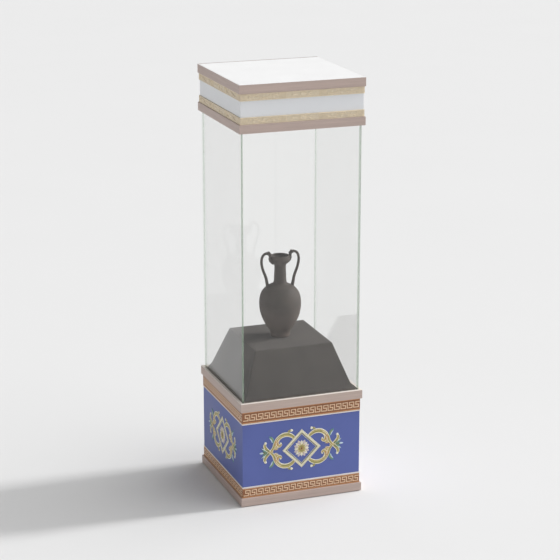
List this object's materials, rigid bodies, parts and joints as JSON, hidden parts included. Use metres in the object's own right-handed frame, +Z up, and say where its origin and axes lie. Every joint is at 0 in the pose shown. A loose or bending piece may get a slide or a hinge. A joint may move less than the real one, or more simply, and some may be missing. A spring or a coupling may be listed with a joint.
{
  "type": "tower display case",
  "caption": "Tall square glass display case on an ornamented blue plinth, with a cloth-covered riser, an amphora, a rear access door, a climate drawer and a lit canopy.",
  "frame": {"origin": "centre of the plan on the floor, at the bottom of the levelling feet", "axes": "+Z up, -Y out of the front face, +X to the right seen from the front; the door, drawer and mains inlet are on the +Y side"},
  "size_m": [0.6, 0.6, 1.987],
  "materials": {
    "rim": "rose-taupe stained veneer, fine straight grain, satin",
    "carcass": "birch plywood, sanded",
    "zinc": "zinc-plated",
    "foot": "moulded rubber pad on a steel stud",
    "blue_panel": "satin blue lacquer on board",
    "key_band": "printed key ornament, satin",
    "bead": "satin off-white",
    "ornament": "cast relief, cream with gilding and small tinted leaves",
    "cassette": "white perforated plastic",
    "lock_metal": "satin chrome",
    "glass": "clear toughened laminated glass with green edges",
    "bond": "clear cured bonding",
    "gasket": "matt extruded rubber",
    "clear_seal": "translucent extruded seal",
    "bush": "turned bronze",
    "riser_cloth": "plain-woven dark grey cloth over board",
    "vase": "matt dark fired clay",
    "gold_band": "carved low relief, pale antique gold",
    "opal": "opal acrylic, frosted",
    "tray": "white-coated sheet",
    "led": "white lamp boards",
    "driver": "moulded white case",
    "lead": "black flexible lead",
    "black_plastic": "moulded black",
    "white_lid": "satin white acrylic"
  },
  "bodies": {
    "case": {"plinth_moulding": "rim", "base_board": "carcass", "foot_sockets": "zinc", "front_panel": "blue_panel", "left_panel": "blue_panel", "right_panel": "blue_panel", "rear_rails": "blue_panel", "corner_posts": "carcass", "key_bands": "key_band", "key_band_beads": "bead", "base_cornice": "rim", "deck_board": "carcass", "medallion_front": "ornament", "medallion_right": "ornament", "medallion_left": "ornament", "drawer_runners": "zinc", "front_pane": "glass", "left_pane": "glass", "right_pane": "glass", "corner_bond_beads": "bond", "glazing_gaskets": "gasket", "door_seals": "clear_seal", "pivot_bushes": "bush", "lock_strikes": "zinc", "canopy_lower_rim": "rim", "gold_bands": "gold_band", "light_band": "opal", "canopy_posts": "carcass", "canopy_upper_rim": "rim", "ceiling_diffuser": "opal", "led_tray": "tray", "led_boards": "led", "led_driver": "driver", "wiring": "lead", "power_inlet": "black_plastic", "switch_frame": "black_plastic", "lid_hinge_fixed_leaves": "zinc", "lid_hinge_pins": "zinc"},
    "access_door": {"door_pane": "glass", "door_patches": "lock_metal", "door_pivot_pins": "zinc", "door_lock_case": "lock_metal"},
    "door_lock": {"door_lock_plug": "lock_metal"},
    "climate_drawer": {"drawer_front": "blue_panel", "medallion_rear": "ornament", "drawer_rails": "zinc", "drawer_box": "carcass", "silica_gel_cassettes": "cassette", "drawer_lock_barrel": "lock_metal"},
    "drawer_lock": {"drawer_lock_plug": "lock_metal"},
    "service_lid": {"canopy_lid": "white_lid", "lid_hinge_moving_leaves": "zinc"},
    "light_switch": {"switch_rocker": "black_plastic"},
    "riser_platform": {"riser": "riser_cloth"},
    "exhibit_vase": {"vase": "vase"},
    "foot_front_left": {"levelling_foot_front_left": "foot"},
    "foot_front_right": {"levelling_foot_front_right": "foot"},
    "foot_rear_left": {"levelling_foot_rear_left": "foot"},
    "foot_rear_right": {"levelling_foot_rear_right": "foot"}
  },
  "joints": [
    {"name": "access_door_swing", "type": "hinge", "parent": "case", "child": "access_door", "pos_m": [0.282, 0.29, 1.138], "axis": [0, 0, -1], "range_deg": [0, 100]},
    {"name": "door_lock_turn", "type": "hinge", "parent": "access_door", "child": "door_lock", "pos_m": [-0.17, 0.285, 0.537], "axis": [0, -1, 0], "range_deg": [0, 90]},
    {"name": "climate_drawer_slide", "type": "slide", "parent": "case", "child": "climate_drawer", "axis": [0, 1, 0], "range_m": [0, 0.35]},
    {"name": "drawer_lock_turn", "type": "hinge", "parent": "climate_drawer", "child": "drawer_lock", "pos_m": [0, 0.28, 0.384], "axis": [0, 1, 0], "range_deg": [0, 90]},
    {"name": "service_lid_lift", "type": "hinge", "parent": "case", "child": "service_lid", "pos_m": [0, 0.293, 1.9835], "axis": [-1, 0, 0], "range_deg": [0, 85]},
    {"name": "light_switch_rock", "type": "hinge", "parent": "case", "child": "light_switch", "pos_m": [-0.085, 0.2945, 1.963], "axis": [1, 0, 0], "range_deg": [-12, 0]},
    {"name": "riser_lift", "type": "slide", "parent": "case", "child": "riser_platform", "axis": [0, 0, 1], "range_m": [0, 0.1]},
    {"name": "vase_lift", "type": "slide", "parent": "riser_platform", "child": "exhibit_vase", "axis": [0, 0, 1], "range_m": [0, 0.3]},
    {"name": "foot_front_left_screw", "type": "slide", "parent": "case", "child": "foot_front_left", "axis": [0, 0, 1], "range_m": [-0.015, 0]},
    {"name": "foot_front_right_screw", "type": "slide", "parent": "case", "child": "foot_front_right", "axis": [0, 0, 1], "range_m": [-0.015, 0]},
    {"name": "foot_rear_left_screw", "type": "slide", "parent": "case", "child": "foot_rear_left", "axis": [0, 0, 1], "range_m": [-0.015, 0]},
    {"name": "foot_rear_right_screw", "type": "slide", "parent": "case", "child": "foot_rear_right", "axis": [0, 0, 1], "range_m": [-0.015, 0]}
  ]
}
